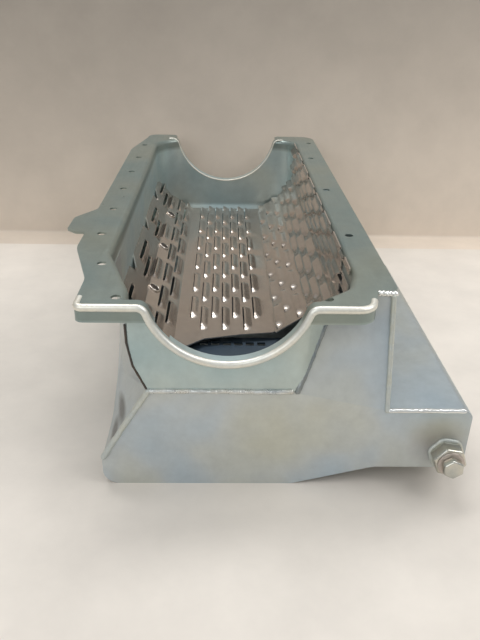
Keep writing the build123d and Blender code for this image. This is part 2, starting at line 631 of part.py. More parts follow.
def on_drain_axis(shape, y):
    """Put a shape drawn along +Z on the drain axis, its base at this Y and its top towards the viewer."""
    return Pos(DRAIN_X, y, -DRAIN_DEPTH) * Rot(90, 0, 0) * shape


def hex_bar(radius, height, turn):
    """Hexagonal bar standing on the XY plane."""
    return extrude(RegularPolygon(radius, 6, rotation=turn), height)


def drain_bung():
    body = hex_bar(BUNG_R, BUNG_PROUD, BUNG_TURN)
    behind = PLATE + BUNG_BEHIND
    body += Pos(0, 0, -behind / 2) * Cylinder(BUNG_R - 2, behind)
    return on_drain_axis(body - Cylinder(SHANK_R + THREAD_CLEARANCE, FAR / 10), SUMP_FRONT)


def drain_washer():
    ring = Pos(0, 0, WASHER_THICK / 2) * Cylinder(WASHER_R, WASHER_THICK)
    ring -= Cylinder(SHANK_R + 0.25, 4 * WASHER_THICK)
    return on_drain_axis(ring, SUMP_FRONT - BUNG_PROUD)


def drain_plug():
    shank = Pos(0, 0, -PLUG_SHANK / 2) * Cylinder(SHANK_R, PLUG_SHANK)
    head = hex_bar(HEX_R, HEX_HEIGHT, HEX_TURN)
    head = chamfer(head.edges().group_by(Axis.Z)[-1], HEX_CHAMFER)
    return on_drain_axis(head + shank, PLUG_SEAT)


def bung_weld():
    """Collar of weld metal round the foot of the bung, kept to the plate."""
    collar = extrude(RegularPolygon(BUNG_R + BUNG_WELD_LEG, 6, rotation=BUNG_TURN), WELD_R, taper=25)
    weld = on_drain_axis(collar - hex_bar(BUNG_R, FAR / 10, BUNG_TURN), SUMP_FRONT)
    return weld - block(-FAR, FAR, -FAR, FAR, -FAR, -KICKOUT_FLOOR + 0.3)


def bead(points, radius, solids):
    """Weld bead: a rod along the points, less everything that it is laid against."""
    rod = None
    for start, end in zip(points, points[1:]):
        line = Vector(*end) - Vector(*start)
        piece = Plane(origin=start, z_dir=line) * Pos(0, 0, line.length / 2) * Cylinder(radius, line.length)
        rod = piece if rod is None else rod + piece
    for point in points[1:-1]:
        rod += Pos(*point) * Sphere(radius)
    for solid in solids:
        rod -= solid
    return [s for s in rod.solids() if s.volume > 0.02 * rod.volume]


def sump_space():
    """The whole sump, filled in, so that no weld metal lies inside it."""
    points, radii = sump_outline()
    under = slab_y(points, SUMP_FRONT + 0.5, SUMP_BACK - 0.5, radii)
    upper = block(60, SUMP_RIGHT - 0.5, SUMP_FRONT, SUMP_BACK - 0.5, -KICKOUT_TOP - 2, 0) - flap_space(0.5)
    floor = block(-FAR, FAR, -FAR, FAR, -SUMP_DEPTH - 20, -SUMP_DEPTH)
    return [under - left_cut_away(), upper, floor]


def left_cut_away():
    """Space outside the formed left corner, which the filled-in sump must leave open."""
    box = block(-OUTER_LEFT - 1, -40, -1, DEEP_Y, SHELF_Z, 0)
    return box - left_corner()


def build():
    pan = upper_pan()
    front = front_plate() - pan
    panel = left_panel(pan, front)
    nodes = {
        "upper_pan": pan,
        "sump_front_plate": front,
        "sump_left_panel": panel,
        "sump_bottom": sump_bottom(),
        "kickout_cover": kickout_cover(),
        "sump_right_wall": right_wall() - front,
        "sump_back_plate": back_plate() - pan,
        "windage_tray": windage_tray(),
        "tray_screws": tray_screws(),
        "tray_standoffs": tray_standoffs(pan, panel),
        "sump_baffle": sump_baffle(),
        "drain_bung": drain_bung(),
        "drain_washer": drain_washer(),
        "drain_plug": drain_plug(),
    }
    filled = sump_space()
    laid = [pan, front, panel, nodes["sump_right_wall"], nodes["sump_back_plate"], nodes["kickout_cover"],
            nodes["sump_bottom"], tub_walls(SHEET / 2)]
    for name, radius, points in weld_paths():
        nodes[name] = bead(points, radius, laid + filled)
        laid += nodes[name]
    nodes["weld_bung"] = bung_weld()
    return nodes


def weld_paths():
    """Name, radius and corner points of every weld laid along a seam."""
    seat, back, bottom_edge = SUMP_FRONT, SUMP_BACK, -SUMP_DEPTH + BOTTOM_BEND
    cover_end, tub_under = KICKOUT_REACH - KICKOUT_TOP_BEND, -TUB_DEPTH - SHEET
    tub_edge = -TUB_DEPTH + FLOOR_BEND
    nose_corner = (-NOSE_LEFT, seat, -NOSE_DEPTH)
    kickout_corner = (SUMP_RIGHT, seat, -KICKOUT_TOP)
    flap_top = (SUMP_RIGHT, seat + FLAP_SET_BACK - 1.5, -SHEET - 2)
    return [
        ("weld_nose_seam", WELD_R, [nose_corner, (NOSE_RIGHT + 2, seat, -NOSE_DEPTH)]),
        ("weld_left_shelf", WELD_R, [nose_corner, (-75, seat, -99), (-OUTER_LEFT, seat, SHELF_Z)]),
        ("weld_right_groove", WELD_R + 0.6, [(50.5, 5.6, -NOSE_DEPTH), (54, 8.3, -60), (61.5, 14.4, -40),
                                             (71.5, 22.6, -13)]),
        ("weld_flap_corner", WELD_R, [kickout_corner, flap_top]),
        ("weld_kickout_top", SEAM_WELD_R, [(SUMP_RIGHT + 2, seat, -KICKOUT_TOP),
                                           (cover_end, seat, -KICKOUT_TOP)]),
        ("weld_rail_edge", WELD_R, [(RIGHT_EAR_HALF + 9, EAR_STEP_Y - 0.5, -1.8),
                                    (SUMP_RIGHT + 1, EAR_STEP_Y - 0.5, -1.8)]),
        ("weld_back_floor", WELD_R, [(-INNER_LEFT + 14, back, tub_under),
                                     (INNER_RIGHT - 14, back, tub_under)]),
        ("weld_back_seam", BACK_WELD_R, [(-OUTER_LEFT, back, tub_edge), (-OUTER_LEFT, back, bottom_edge)]),
        ("weld_kickout_back", BACK_WELD_R, [(SUMP_RIGHT, back, -SHEET - 1), (SUMP_RIGHT, back, -KICKOUT_TOP),
                                            (cover_end, back, -KICKOUT_TOP)]),
        ("weld_kickout_side", SEAM_WELD_R, [(KICKOUT_REACH, seat + 3, SEAM_Z),
                                            (KICKOUT_REACH, back - 3, SEAM_Z)]),
        ("weld_left_side", SEAM_WELD_R, [(-OUTER_LEFT, DEEP_Y, tub_edge), (-OUTER_LEFT, back - 3, tub_edge)]),
    ]


os.makedirs("parts", exist_ok=True)
place = Pos(-MIDDLE_X, -MIDDLE_Y, SUMP_DEPTH)
for node, shape in build().items():
    solids = shape if isinstance(shape, list) else shape.solids()
    export_step(place * Compound(children=list(solids)), f"parts/{node}.step")
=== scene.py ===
"""Dresses the fabricated oil pan: plated sheet, welded seams, louvred tray, floor, light and camera."""
import math

import bmesh
import bpy
from mathutils import Matrix, Vector
from mathutils.kdtree import KDTree


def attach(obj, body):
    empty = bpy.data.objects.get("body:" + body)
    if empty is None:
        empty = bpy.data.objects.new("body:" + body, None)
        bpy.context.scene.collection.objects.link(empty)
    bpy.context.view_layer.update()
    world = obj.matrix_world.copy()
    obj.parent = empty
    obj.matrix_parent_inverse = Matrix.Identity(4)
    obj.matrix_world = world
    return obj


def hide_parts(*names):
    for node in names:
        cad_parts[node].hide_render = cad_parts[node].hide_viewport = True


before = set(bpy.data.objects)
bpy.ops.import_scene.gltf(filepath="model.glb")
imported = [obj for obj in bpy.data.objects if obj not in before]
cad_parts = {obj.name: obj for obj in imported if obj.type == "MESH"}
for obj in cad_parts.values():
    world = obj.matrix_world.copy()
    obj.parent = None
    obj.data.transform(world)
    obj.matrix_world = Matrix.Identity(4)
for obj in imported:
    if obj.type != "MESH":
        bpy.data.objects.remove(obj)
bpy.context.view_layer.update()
scene = bpy.context.scene

MM = 0.001
SHIFT = Vector((-22.5, -269.5, 152.5))     # from the rail's own frame to the pan's frame
TOUCHING = 0.01                            # millimetres within which two points are one
SHEET_CREASE, BAR_CREASE = 50, 35          # degrees past which an edge is left sharp


def at(x, y, z):
    """Point in metres from millimetres in the rail's frame."""
    return (Vector((x, y, z)) + SHIFT) * MM


# ---------------------------------------------------------------------------------------------
# Shader helpers
# ---------------------------------------------------------------------------------------------
class Nodes:
    """Adds and joins the nodes of one tree."""

    def __init__(self, tree):
        self.tree = tree

    def add(self, kind, settings=None, **inputs):
        node = self.tree.nodes.new(kind)
        for key, value in (settings or {}).items():
            setattr(node, key, value)
        for key, value in inputs.items():
            self.put(node, key.replace("_", " "), value)
        return node

    def put(self, node, socket, value):
        target = node.inputs[int(socket)] if socket.isdigit() else node.inputs[socket]
        if isinstance(value, bpy.types.NodeSocket):
            self.tree.links.new(value, target)
        else:
            target.default_value = value

    def mix(self, factor, a, b, blend="MIX"):
        """Blend of two colours, which a colour mix takes on its sockets 6 and 7."""
        node = self.tree.nodes.new("ShaderNodeMix")
        node.data_type = "RGBA"
        node.blend_type = blend
        self.put(node, "0", factor)
        self.put(node, "6", a)
        self.put(node, "7", b)
        return node.outputs[2]

    def math(self, operation, a, b=0.0, clamp=False):
        node = self.tree.nodes.new("ShaderNodeMath")
        node.operation = operation
        node.use_clamp = clamp
        self.put(node, "0", a)
        self.put(node, "1", b)
        return node.outputs[0]

    def ramp(self, factor, stops):
        node = self.tree.nodes.new("ShaderNodeValToRGB")
        for i, (place, value) in enumerate(stops):
            spot = node.color_ramp.elements[i] if i < 2 else node.color_ramp.elements.new(place)
            spot.position = place
            spot.color = (value, value, value, 1) if isinstance(value, float) else value
        self.put(node, "0", factor)
        return node.outputs[0]

    def noise(self, vector, scale, detail=3.0, roughness=0.5):
        node = self.add("ShaderNodeTexNoise", Vector=vector, Scale=scale, Detail=detail, Roughness=roughness)
        return node.outputs[0]


def new_group(name, inputs, outputs):
    """Empty shader group with named sockets: its nodes, its inputs and its output node."""
    tree = bpy.data.node_groups.new(name, "ShaderNodeTree")
    for title, kind, value in inputs:
        socket = tree.interface.new_socket(name=title, in_out="INPUT", socket_type=kind)
        if value is not None:
            socket.default_value = value
    for title, kind in outputs:
        tree.interface.new_socket(name=title, in_out="OUTPUT", socket_type=kind)
    nodes = Nodes(tree)
    source = tree.nodes.new("NodeGroupInput")
    sink = tree.nodes.new("NodeGroupOutput")
    return nodes, source.outputs, sink


def rgb(red, green, blue):
    """Linear colour with alpha from values read on a display, 0 to 255."""
    linear = [c / 255 / 12.92 if c <= 10 else ((c / 255 + 0.055) / 1.055) ** 2.4 for c in (red, green, blue)]
    return (*linear, 1.0)


def plating_group():
    """Cloudy zinc plating: slow drifts between three tints with a faint mottle."""
    nodes, given, sink = new_group(
        "plating_clouds",
        [("Vector", "NodeSocketVector", None), ("Base", "NodeSocketColor", (0.5, 0.5, 0.5, 1)),
         ("Warm", "NodeSocketColor", (0.5, 0.5, 0.4, 1)), ("Cool", "NodeSocketColor", (0.4, 0.5, 0.5, 1)),
         ("Scale", "NodeSocketFloat", 12.0), ("Amount", "NodeSocketFloat", 0.5)],
        [("Color", "NodeSocketColor"), ("Mask", "NodeSocketFloat")])
    slow = nodes.noise(given["Vector"], given["Scale"], 2.0)
    quick = nodes.noise(given["Vector"], nodes.math("MULTIPLY", given["Scale"], 9.0), 4.0, 0.65)
    warm = nodes.math("MULTIPLY", nodes.ramp(slow, [(0.46, 0.0), (0.72, 1.0)]), given["Amount"])
    cool = nodes.math("MULTIPLY", nodes.ramp(slow, [(0.30, 1.0), (0.52, 0.0)]), given["Amount"])
    colour = nodes.mix(warm, given["Base"], given["Warm"])
    colour = nodes.mix(cool, colour, given["Cool"])
    mottle = nodes.ramp(quick, [(0.3, 0.90), (0.7, 1.06)])
    nodes.put(sink, "Color", nodes.mix(0.7, colour, mottle, "MULTIPLY"))
    nodes.put(sink, "Mask", quick)
    return nodes.tree


def grain_group():
    """Rolling grain of sheet metal and fine scuffs: a roughness offset and a height."""
    nodes, given, sink = new_group(
        "sheet_grain",
        [("Vector", "NodeSocketVector", None), ("Stretch", "NodeSocketVector", (1, 1, 1)),
         ("Scale", "NodeSocketFloat", 300.0)],
        [("Rough", "NodeSocketFloat"), ("Height", "NodeSocketFloat")])
    stretched = nodes.add("ShaderNodeVectorMath", {"operation": "MULTIPLY"})
    nodes.put(stretched, "0", given["Vector"])
    nodes.put(stretched, "1", given["Stretch"])
    lines = nodes.noise(stretched.outputs[0], given["Scale"], 4.0, 0.7)
    spots = nodes.noise(given["Vector"], nodes.math("MULTIPLY", given["Scale"], 0.12), 3.0, 0.6)
    both = nodes.math("ADD", nodes.math("MULTIPLY", lines, 0.6), nodes.math("MULTIPLY", spots, 0.4))
    nodes.put(sink, "Rough", nodes.math("SUBTRACT", both, 0.5))
    nodes.put(sink, "Height", both)
    return nodes.tree


PLATING = plating_group()
GRAIN = grain_group()
GRAIN_IN_ROUGHNESS = 0.35
BUMP_STRENGTH = 0.5


def metal(name, base, warm, cool, rough, metallic, stretch, clouds=12.0, amount=0.5, grain=300.0, bump=0.0001,
          extra=None):
    """Plated or bare sheet material built on the two shared groups."""
    material = bpy.data.materials.new(name)
    material.use_nodes = True
    nodes = Nodes(material.node_tree)
    shader = material.node_tree.nodes["Principled BSDF"]
    place = nodes.add("ShaderNodeTexCoord").outputs["Object"]
    tint = nodes.add("ShaderNodeGroup", {"node_tree": PLATING}, Vector=place, Base=base, Warm=warm, Cool=cool,
                     Scale=clouds, Amount=amount)
    sheet = nodes.add("ShaderNodeGroup", {"node_tree": GRAIN}, Vector=place, Stretch=stretch, Scale=grain)
    colour = tint.outputs["Color"]
    roughness = nodes.math("MULTIPLY_ADD", sheet.outputs["Rough"], GRAIN_IN_ROUGHNESS)
    roughness.node.inputs[2].default_value = rough
    if extra:
        colour, roughness = extra(nodes, place, colour, roughness)
    lift = nodes.add("ShaderNodeBump", Height=sheet.outputs["Height"], Distance=bump, Strength=BUMP_STRENGTH)
    nodes.put(shader, "Base Color", colour)
    nodes.put(shader, "Roughness", roughness)
    nodes.put(shader, "Normal", lift.outputs[0])
    shader.inputs["Metallic"].default_value = metallic
    return material


def spot_mask(nodes, place, centre, size, soft=0.5):
    """Mask of an ellipsoid patch, 1 in its middle."""
    near = nodes.add("ShaderNodeVectorMath", {"operation": "SUBTRACT"})
    nodes.put(near, "0", place)
    nodes.put(near, "1", tuple(centre))
    scaled = nodes.add("ShaderNodeVectorMath", {"operation": "DIVIDE"})
    nodes.put(scaled, "0", near.outputs[0])
    nodes.put(scaled, "1", tuple(s * MM for s in size))
    length = nodes.add("ShaderNodeVectorMath", {"operation": "LENGTH"})
    nodes.put(length, "0", scaled.outputs[0])
    return nodes.ramp(length.outputs["Value"], [(1 - soft, 1.0), (1.0, 0.0)])


HEAT_TINTS = [                # middle, half size, softness, amount and colour
    ((158, 5, -113), (26, 12, 24), 0.75, 0.55, rgb(128, 112, 96)),
    ((160, 5, -98), (34, 12, 20), 0.9, 0.4, rgb(176, 172, 140)),
]


def heat_round_bung(nodes, place, colour, roughness):
    """Brown and straw heat tint where the bung was welded on."""
    for middle, size, soft, amount, tint in HEAT_TINTS:
        patch = spot_mask(nodes, place, at(*middle), size, soft)
        colour = nodes.mix(nodes.math("MULTIPLY", patch, amount), colour, tint)
    return colour, roughness


RAMP_HEIGHT = 0.16                           # metres, a little over the pan's height
RAIL_FADE = [(0.86, 0.0), (0.89, 1.0)]       # from the walls to the rail, in shares of that height


def rail_painted_shade(nodes, place, colour, roughness):
    """Painted shade: the rail face and its turned-down lip are painted a little darker than the walls below.
    """
    height = nodes.add("ShaderNodeSeparateXYZ", Vector=place).outputs["Z"]
    top = nodes.ramp(nodes.math("DIVIDE", height, RAMP_HEIGHT), RAIL_FADE)
    rail_shade = nodes.mix(1.0, colour, rgb(192, 192, 187), "MULTIPLY")
    return nodes.mix(top, colour, rail_shade), roughness


# Painted dark reflections on the formed left hand panel: middle and half size of each sweep.
DARK_REFLECTIONS = [((-79.5, 28, -99.5), (11, 26, 8)), ((-84, 19, -113), (9, 17, 10))]     # middle and half size
SWEEP_SOFT, SWEEP_AMOUNT = 0.6, 0.85


def left_panel_reflections(nodes, place, colour, roughness):
    """Painted reflections: dark sweeps painted on the formed left hand panel."""
    for middle, size in DARK_REFLECTIONS:
        patch = spot_mask(nodes, place, at(*middle), size, SWEEP_SOFT)
        colour = nodes.mix(nodes.math("MULTIPLY", patch, SWEEP_AMOUNT), colour, rgb(84, 84, 82))
    return colour, roughness


PALE_ZINC = rgb(184, 198, 196)
ZINC = rgb(180, 188, 190)
STRAW = rgb(190, 190, 174)
STEEL_BLUE = rgb(154, 172, 184)
EVEN = (1, 1, 1)
LOOKS = [
    # name, base, warm and cool tints, roughness, metallic, grain direction, then whatever differs
    ("zinc", ZINC, STRAW, STEEL_BLUE, 0.38, 0.6, EVEN, {}),
    # left: the formed panel carries painted dark reflections
    ("left", ZINC, STRAW, STEEL_BLUE, 0.32, 0.7, EVEN, {"extra": left_panel_reflections}),
    ("front", rgb(192, 198, 199), rgb(196, 195, 178), rgb(170, 188, 200), 0.42, 0.45, (0.06, 1, 1),
     {"extra": heat_round_bung, "amount": 0.8}),
    # pan: its rail band is painted darker, as painted shade
    ("pan", PALE_ZINC, rgb(196, 198, 180), rgb(150, 180, 186), 0.34, 0.6, (1, 0.1, 1),
     {"extra": rail_painted_shade, "bump": 0.00002}),
    ("tray", rgb(192, 182, 172), rgb(194, 180, 166), rgb(176, 170, 164), 0.22, 0.85, (1, 0.1, 1),
     {"amount": 0.35, "bump": 0.00005}),
    # tray_highlight: a lighter copy of the tray finish, a painted highlight on the tray's cut edges and the
    # cups' lips
    ("tray_highlight", rgb(222, 212, 202), rgb(216, 202, 188), rgb(200, 196, 192), 0.16, 0.85, EVEN, {}),
    # sunk: very dark metal as painted shade, on the screw heads down in their cups and on the tube along the
    # left joint
    ("sunk", rgb(84, 78, 74), rgb(96, 84, 74), rgb(70, 70, 72), 0.34, 0.85, EVEN, {"clouds": 60.0}),
    ("shade", rgb(74, 88, 100), rgb(84, 92, 98), rgb(60, 76, 92), 0.40, 0.7, EVEN, {}),
    # groove: the weld finish painted darker, as painted shade for the bead down in the right hand V groove
    ("groove", rgb(142, 150, 152), rgb(150, 148, 138), rgb(112, 122, 128), 0.34, 0.8, EVEN,
     {"clouds": 60.0, "grain": 900.0, "bump": 0.0003}),
    # roll: near-white copy of the zinc, a painted highlight on the near edge's roll and the far arc's rim
    ("roll", rgb(236, 234, 224), rgb(232, 226, 208), rgb(212, 216, 212), 0.44, 0.8, EVEN,
     {"clouds": 40.0, "bump": 0.00002}),
    ("ridge", rgb(196, 200, 194), rgb(196, 194, 172), rgb(176, 186, 188), 0.40, 0.5, EVEN,
     {"clouds": 60.0, "bump": 0.00004}),
    # weld_highlight: a lighter copy of the weld finish, a painted highlight on the kick-out's top seam and
    # the rail edge bead
    ("weld_highlight", rgb(236, 238, 236), rgb(226, 222, 208), rgb(208, 214, 216), 0.24, 0.85, EVEN,
     {"clouds": 60.0, "bump": 0.00004}),
    ("weld", rgb(214, 216, 212), rgb(204, 196, 176), rgb(170, 178, 182), 0.30, 0.7, EVEN,
     {"clouds": 60.0, "grain": 900.0, "bump": 0.0003}),
    ("fastener", rgb(206, 204, 194), rgb(196, 186, 158), rgb(164, 172, 172), 0.20, 0.95, EVEN,
     {"clouds": 60.0, "grain": 700.0, "bump": 0.00003}),
    ("washer", rgb(190, 180, 172), rgb(182, 168, 156), rgb(160, 156, 156), 0.34, 0.8, EVEN,
     {"clouds": 60.0, "grain": 700.0}),
]
materials = {look[0]: metal(look[0] + "_metal", *look[1:7], **look[7]) for look in LOOKS}

FINISH = {
    "upper_pan": "pan", "sump_front_plate": "front", "sump_left_panel": "left", "sump_bottom": "zinc",
    "kickout_cover": "zinc", "sump_right_wall": "zinc", "sump_back_plate": "zinc", "windage_tray": "tray",
    "tray_screws": "fastener", "tray_standoffs": "tray", "sump_baffle": "shade", "drain_bung": "fastener",
    "drain_washer": "washer", "drain_plug": "fastener",
}


def wear(obj, finish):
    """Give every face of the object one finish."""
    if not obj.data.materials:
        obj.data.materials.append(materials[finish])
    for slot in obj.material_slots:
        slot.material = materials[finish]


for name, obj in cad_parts.items():
    wear(obj, FINISH.get(name, "weld"))


# ---------------------------------------------------------------------------------------------
# Modelling helpers
# ---------------------------------------------------------------------------------------------
def deselect():
    if bpy.context.object and bpy.context.object.mode != "OBJECT":
        bpy.ops.object.mode_set(mode="OBJECT")
    bpy.ops.object.select_all(action="DESELECT")


def apply_transforms():
    bpy.ops.object.transform_apply(location=True, rotation=True, scale=True)


def place_at(obj, matrix):
    """Set the selected object down by a matrix and apply it."""
    obj.matrix_world = matrix
    apply_transforms()


def repeat(obj, name, count, step):
    """Array modifier that lays copies of the object a step apart, for the caller to apply."""
    row = obj.modifiers.new(name, "ARRAY")
    row.count = count
    row.use_relative_offset = False
    row.use_constant_offset = True
    row.constant_offset_displace = step
    return row


def select_only(mesh, chosen, kind="verts"):
    for item in getattr(mesh, kind):
        item.select_set(False)
    for item in chosen:
        item.select_set(True)
    mesh.select_flush(True)


def cut(mesh, chosen, place, normal, clear=False):
    """Bisect the chosen faces by a plane, and drop what lies in front of it if asked to."""
    for face in mesh.faces:
        face.select_set(False)
    for face in chosen:
        face.select_set(True)
    bpy.ops.mesh.bisect(plane_co=place, plane_no=normal.normalized(), clear_outer=clear,
                        threshold=TOUCHING * MM)


def soften(obj, width, segments=3, angle=25):
    """Round the object's edges that turn by more than an angle."""
    edge = obj.modifiers.new("soft_edges", "BEVEL")
    edge.width = width * MM
    edge.segments = segments
    edge.limit_method = "ANGLE"
    edge.angle_limit = math.radians(angle)
    deselect()
    obj.select_set(True)
    bpy.context.view_layer.objects.active = obj
    bpy.ops.object.modifier_apply(modifier=edge.name)
    bpy.ops.object.shade_smooth_by_angle(angle=math.radians(BAR_CREASE))


def join_as(name, parts):
    """One object of several parts, under a new name."""
    deselect()
    for part in parts:
        part.select_set(True)
    bpy.context.view_layer.objects.active = parts[0]
    if len(parts) > 1:
        bpy.ops.object.join()
    whole = bpy.context.object
    whole.name = name
    return whole


# ---------------------------------------------------------------------------------------------
# Windage tray: one folded sheet with pressed louvres
# ---------------------------------------------------------------------------------------------
ROW = 3.0                     # spacing of the sheet's cross lines
NEAR_END, FAR_END = 68.0, 524.0
ROWS = round((FAR_END - NEAR_END) / ROW)
FOLD_LINE = 0.9               # width of a bend between two panels
TRAY_THICK = 1.1
HOOD_HALF = 3.8
HOOD_HIGH = 3.4
SLOT_GAPS = [2.4, 1.7, 1.1, 1.0, 0.8, 0.7]          # by panel: how far the sheet gapes beside a hood
HOOD_LINES = [(-3.8, 1.0), (-3.1, 0.98), (-2.0, 0.90), (-0.8, 0.74), (0.7, 0.48), (2.2, 0.2)]
HOOD_RISE = [0.0, 0.60, 0.90, 0.98]                 # height on the rows from either end
LOW_SIDE_LAG = 1.2                                  # a hood's low side rises later than its open side
PITCH, STAGGER, LENGTH = 60.0, 24.0, 48.0           # of the short louvres
LONG_PITCH, LONG_LENGTH = 117.0, 54.0
FIRST, LONG_FIRST = 476.0, 464.0                    # near ends of the louvres that lie furthest
NEAR_EDGE = [(-91.5, 139.0), (-48.0, 126.0), (-38.0, 118.0), (-20.0, 134.0), (13.0, 142.5), (44.0, 147.5),
             (75.7, 148.0), (90.6, 102.0)]
SAW_START, SAW_TEETH = 424.0, 3                     # teeth of the left edge, a long pitch apart
SAW_DEPTHS = [2.0, 6.0, 9.6, 9.8, 9.2, 8.2, 6.6, 5.0, 3.4, 1.8]
NOTCH_START, NOTCHES, NOTCH_ROWS, NOTCH_DEEP = 452.0, 7, range(1, 7), 3.2
TRAY_CORNERS = ((-1, -91.0, 45.0), (1, 92.8, 30.0))     # side, outer edge and radius at the far end
CORNER_END, CORNER_CUTS = 530.5, 8
NEAR_ZONE, NEAR_MARGIN = 25, 5                      # how far from the near edge its cuts may reach
FLAT_MARGIN = 5                                     # sheet left flat between the near edge and a louvre
LEAST_STRIP = 0.3                                   # narrowest strip beside a bend


def row_of(y):
    """Number of the sheet's cross line at this distance from the near edge of the rail."""
    return round((y - NEAR_END) / ROW)


def short(phase):
    """Where a column of short louvres begins at the far end, its pitch and its length."""
    return FIRST + phase * (PITCH - STAGGER), PITCH, LENGTH


def long(shift):
    """The same for a column of long louvres, moved towards the near end."""
    return LONG_FIRST - shift, LONG_PITCH, LONG_LENGTH


FACET = math.degrees(math.atan2(19.6, 29.4))        # slopes of the facets beside the floor, and of the wings
WING = 60.7
FLOOR_PANEL = 2
# start of each panel, slope, length, and its louvre columns by distance from the start
TRAY_PANELS = [
    ((-91.6, -48.07), -WING, 32.49, [(15.5, long(0)), (27.0, long(21))]),
    ((-75.7, -76.4), -FACET, 35.33, [(5.0, long(0)), (18.13, short(0)), (28.53, short(1))]),
    ((-46.3, -96.0), 0.0, 92.6, [(47.2 + 10.15 * k, short((k + 1) % 2)) for k in range(-3, 4)]),
    ((46.3, -96.0), FACET, 35.33, [(6.2, short(1)), (16.6, short(0)), (28.5, short(1))]),
    ((75.7, -76.4), WING, 32.49, [(5.3, short(0)), (16.2, short(1)), (26.6, short(0))]),
    ((91.6, -48.07), 90.0, 49.07, [(9.0, short(1)), (19.2, short(0)), (29.4, short(1)), (39.6, short(0))]),
]


def near_limit(x):
    """Where the tray's near edge lies at this distance from the crankshaft line."""
    for (x0, y0), (x1, y1) in zip(NEAR_EDGE, NEAR_EDGE[1:]):
        if x0 <= x <= x1:
            return y0 + (y1 - y0) * (x - x0) / (x1 - x0)
    return NEAR_EDGE[0][1] if x < 0 else NEAR_END


def tray_lines():
    """Every lengthwise line of the sheet: place, panel, louvre column, and its line of a hood or the gap."""
    lines = []
    for p, (start, slope, length, columns) in enumerate(TRAY_PANELS):
        along = Vector((math.cos(math.radians(slope)), math.sin(math.radians(slope))))
        marks = [(0.0, None, None), (FOLD_LINE / 2, None, None)] if p else [(0.0, None, None)]
        for c, (centre, _) in enumerate(columns):
            marks.append((max(centre - HOOD_HALF - SLOT_GAPS[p], FOLD_LINE), c, "gap"))
            marks += [(centre + shift, c, i) for i, (shift, _) in enumerate(HOOD_LINES)]
            marks.append((centre + HOOD_HALF, None, None))
        if length - FOLD_LINE / 2 > marks[-1][0] + LEAST_STRIP:
            marks.append((length - FOLD_LINE / 2, None, None))
        for distance, column, role in sorted(marks, key=lambda m: m[0]):
            lines.append((Vector(start) + distance * along, p, column, role))
    start, _, length, _ = TRAY_PANELS[-1]
    lines.append((Vector(start) + Vector((0, length)), len(TRAY_PANELS) - 1, None, None))
    return lines


def louvre_rows(panel, column):
    """Near ends of a column's louvres, and their length."""
    start, slope, _, columns = TRAY_PANELS[panel]
    centre, (first, pitch, length) = columns[column]
    x = start[0] + centre * math.cos(math.radians(slope))
    margin = FLAT_MARGIN if panel == FLOOR_PANEL else -length / 2
    ends = []
    near = first
    while near > near_limit(x) + margin:
        ends.append(near)
        near -= pitch
    return ends, length


def flat_strips(lines):
    """The folded sheet with its cross lines, still without louvres, left in edit mode."""
    deselect()
    bpy.ops.mesh.primitive_plane_add(size=1 * MM, location=(0, 0, 0))
    tray = bpy.context.object
    tray.name = "louvred_tray"
    bpy.ops.object.mode_set(mode="EDIT")
    bpy.ops.mesh.select_all(action="SELECT")
    bpy.ops.mesh.merge(type="CENTER")
    first = lines[0][0]
    bpy.ops.transform.translate(value=at(first.x, NEAR_END, first.y))
    for (here, *_), (there, *_) in zip(lines, lines[1:]):
        step = (there - here) * MM
        bpy.ops.mesh.extrude_vertices_move(TRANSFORM_OT_translate={"value": (step.x, 0, step.y)})
    bpy.ops.mesh.select_all(action="SELECT")
    bpy.ops.mesh.extrude_edges_move(TRANSFORM_OT_translate={"value": (0, ROW * MM, 0)})
    bpy.ops.object.mode_set(mode="OBJECT")
    strips = repeat(tray, "rows", ROWS, (0, ROW * MM, 0))
    strips.use_merge_vertices = True
    strips.merge_threshold = TOUCHING * MM
    bpy.ops.object.modifier_apply(modifier=strips.name)
    bpy.ops.object.mode_set(mode="EDIT")
    return tray


def grid_of(mesh, lines):
    """Every vertex of the sheet by its lengthwise line and its row."""
    where = KDTree(len(lines))
    for i, (point, *_) in enumerate(lines):
        where.insert((point.x, 0, point.y), i)
    where.balance()
    grid = {}
    for vertex in mesh.verts:
        place = vertex.co / MM - SHIFT
        grid[where.find((place.x, 0, place.z))[1], row_of(place.y)] = vertex
    return grid


def raise_louvres(mesh, lines, grid):
    """Lift the hoods out of their panels, and give the faces beside them that the press sheared open."""
    groups = {}
    sheared = []
    for i, (_, panel, column, role) in enumerate(lines):
        if column is None:
            continue
        ends, length = louvre_rows(panel, column)
        for low, high in [(row_of(near), row_of(near + length)) for near in ends]:
            for row in range(max(low, 0), min(high, ROWS) + 1):
                if role == "gap":
                    if row < min(high, ROWS):
                        corner, across = grid[i, row], grid[i + 1, row + 1]
                        sheared += [f for f in corner.link_faces if f in across.link_faces]
                    continue
                share = HOOD_LINES[role][1]
                end = min(row - low, high - row)
                rise = HOOD_RISE[end] if end < len(HOOD_RISE) else 1.0
                if rise > 0:
                    key = (panel, round(share * rise ** (1 + LOW_SIDE_LAG * (1 - share)), 4))
                    groups.setdefault(key, []).append(grid[i, row])
    for (panel, share), members in groups.items():
        slope = math.radians(TRAY_PANELS[panel][1])
        lift = Vector((-math.sin(slope), 0, math.cos(slope))) * HOOD_HIGH * share * MM
        select_only(mesh, members)
        bpy.ops.transform.translate(value=lift)
    return sheared


def shape_side_edges(mesh, grid, last_line):
    """Saw teeth in the left wing's edge and notches in the right hand edge."""
    down = Vector((math.cos(math.radians(WING)), 0, -math.sin(math.radians(WING))))
    for row, depth in enumerate(SAW_DEPTHS):
        select_only(mesh, [grid[0, row_of(SAW_START + ROW * row - LONG_PITCH * i)] for i in range(SAW_TEETH)])
        bpy.ops.transform.translate(value=down * depth * MM)
    select_only(mesh, [grid[last_line, row_of(NOTCH_START + ROW * row - PITCH * i)]
                       for i in range(NOTCHES) for row in NOTCH_ROWS])
    bpy.ops.transform.translate(value=(0, 0, -NOTCH_DEEP * MM))


